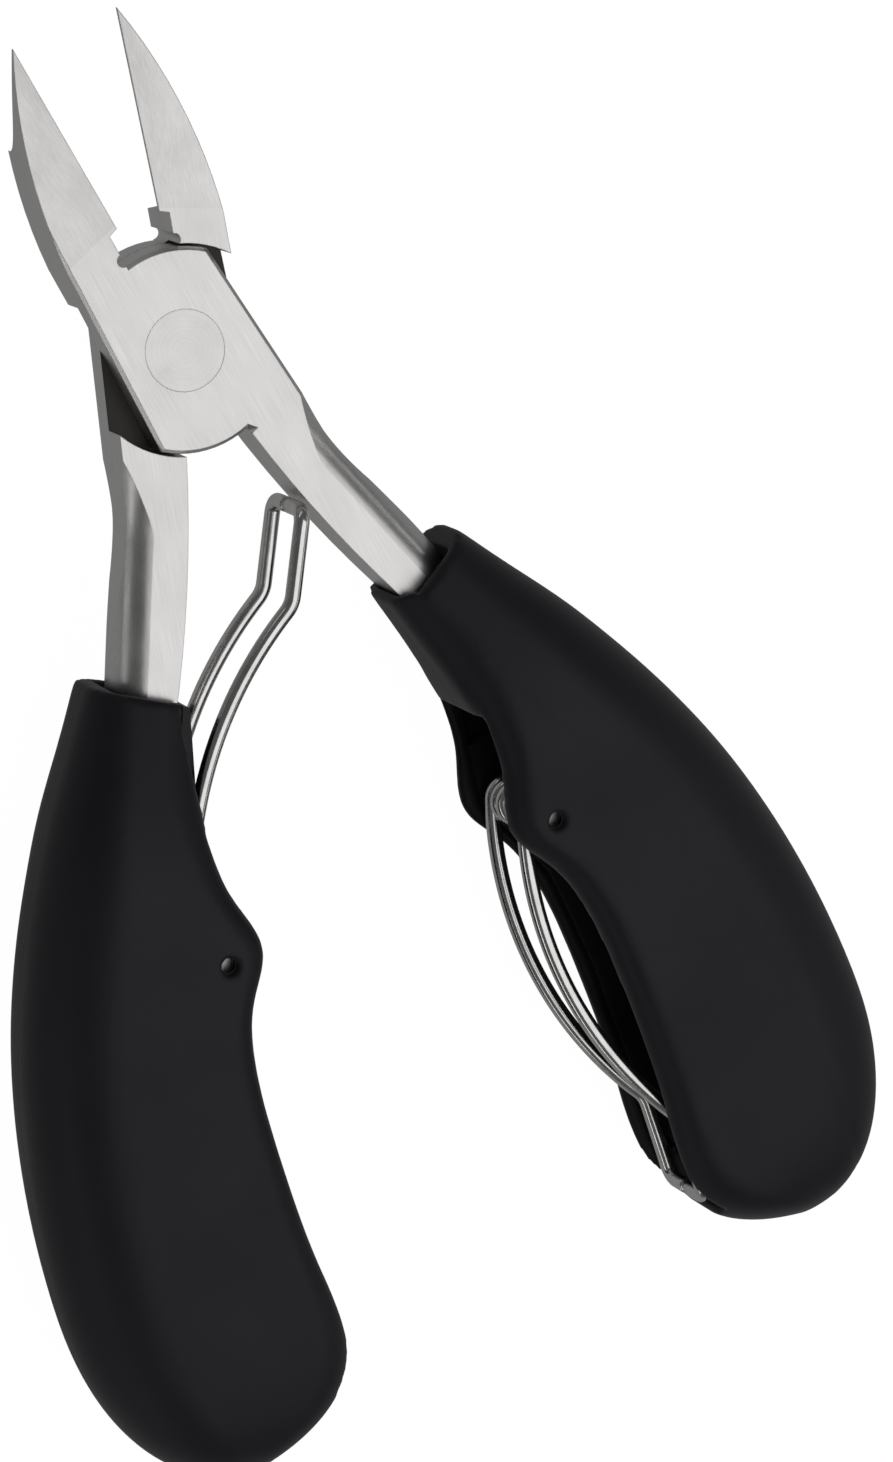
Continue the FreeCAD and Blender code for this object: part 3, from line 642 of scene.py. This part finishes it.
def neck_mesh():
    """The closed throat of the right grip, in the row's frame: a loft through the NECK sections."""
    bm = bmesh.new()
    loops = []
    for drop, inner, half, corner, beside, over in NECK:
        reach = min(NECK_HALF, half - NECK_INSET)
        section = []
        for step in range(NECK_STEPS + 1):
            level = reach * (2 * step / NECK_STEPS - 1)
            past = max(abs(level) - (half - corner), 0)
            section.append((inner + corner - math.sqrt(corner ** 2 - past ** 2), level))
        section += [(beside, reach), (beside, POCKET_HALF), (over, POCKET_HALF)]
        section += [(over, -POCKET_HALF), (beside, -POCKET_HALF), (beside, -reach)]
        loops.append([bm.verts.new(Vector((across, -drop, level)) * MM) for across, level in section])
    bridge_loops(bm, loops)
    bm.faces.new(loops[0])
    bm.faces.new(list(reversed(loops[-1])))
    bmesh.ops.recalc_face_normals(bm, faces=bm.faces)
    bmesh.ops.triangulate(bm, faces=bm.faces)
    mesh = finished_mesh("neck", bm)
    mesh.transform(lever_frame(SIDES["right"]))
    return mesh


def join_mesh(mesh, other):
    """Add the faces of one mesh to another."""
    bm = bmesh.new()
    bm.from_mesh(mesh)
    bm.from_mesh(other)
    bm.to_mesh(mesh)
    bm.free()
    mesh.update()


def press_crease(mesh):
    """The faint mould line that curves down the front face of the right grip: a shallow groove
    that fades out over a few of its widths."""
    for vertex in mesh.vertices:
        spot = vertex.co
        if spot.z < MID_HEIGHT + CREASE_ABOVE or spot.y > CREASE_TOP:
            continue
        off = ((spot.xy - CREASE_CENTRE).length - CREASE_RADIUS) / CREASE_WIDTH
        if spot.x > CREASE_CENTRE.x and abs(off) < CREASE_REACH:
            spot.z -= CREASE_DEPTH * math.exp(-off * off)
    mesh.update()


def add_grip(word, material):
    """The moulded sleeve: the CAD shell remeshed so that all its rims are softly rounded. The right
    one, whose spring is folded away, has a closed neck."""
    mesh = frame["nodes"][word + "_grip_sleeve"].data.copy()
    mesh.materials.clear()
    if word == "right":
        join_mesh(mesh, neck_mesh())
    piece = add_object(word + "_grip_skin", mesh)
    remesh = piece.modifiers.new("voxels", "REMESH")
    remesh.mode = "VOXEL"
    remesh.voxel_size = VOXEL
    remesh.adaptivity = 0.0
    relax = piece.modifiers.new("relax", "SMOOTH")
    relax.factor = RELAX_FACTOR
    relax.iterations = RELAX_ROUNDS
    apply_modifiers(piece)
    if word == "right":
        press_crease(piece.data)
    smooth_faces(piece.data)
    piece.data.materials.append(material)
    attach(piece, BODY_OF_SIDE[word])
    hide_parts(word + "_grip_sleeve")


# ---- the scene -----------------------------------------------------------------------------

add_camera()
add_studio()
wire = polished_wire("spring_wire")
rubber = soft_rubber("grip_rubber", RUBBER_DARK, RUBBER_LIGHT, 0.46, 0.58)
core = soft_rubber("liner_plastic", PLASTIC_DARK, PLASTIC_LIGHT, 0.38, 0.5)
pin_metal = brushed_steel("pin_steel", 0, PIN_DARK, PIN_LIGHT)
NODE_MATERIALS = {
    "front_lever": brushed_steel("front_lever_steel", HALF_OPENING),
    "rear_lever": brushed_steel("rear_lever_steel", -HALF_OPENING),
    "pivot_rivet": turned_steel("rivet_steel"),
}
for word in SIDES:
    NODE_MATERIALS[word + "_grip_liner"] = core
    NODE_MATERIALS[word + "_grip_sleeve"] = rubber
    NODE_MATERIALS[word + "_spring"] = wire
    NODE_MATERIALS[word + "_spring_pin"] = pin_metal
for name, material in NODE_MATERIALS.items():
    slots = frame["nodes"][name].data.materials
    slots.clear()
    slots.append(material)
for word in SIDES:
    add_grip(word, rubber)
    add_spring(word, wire)
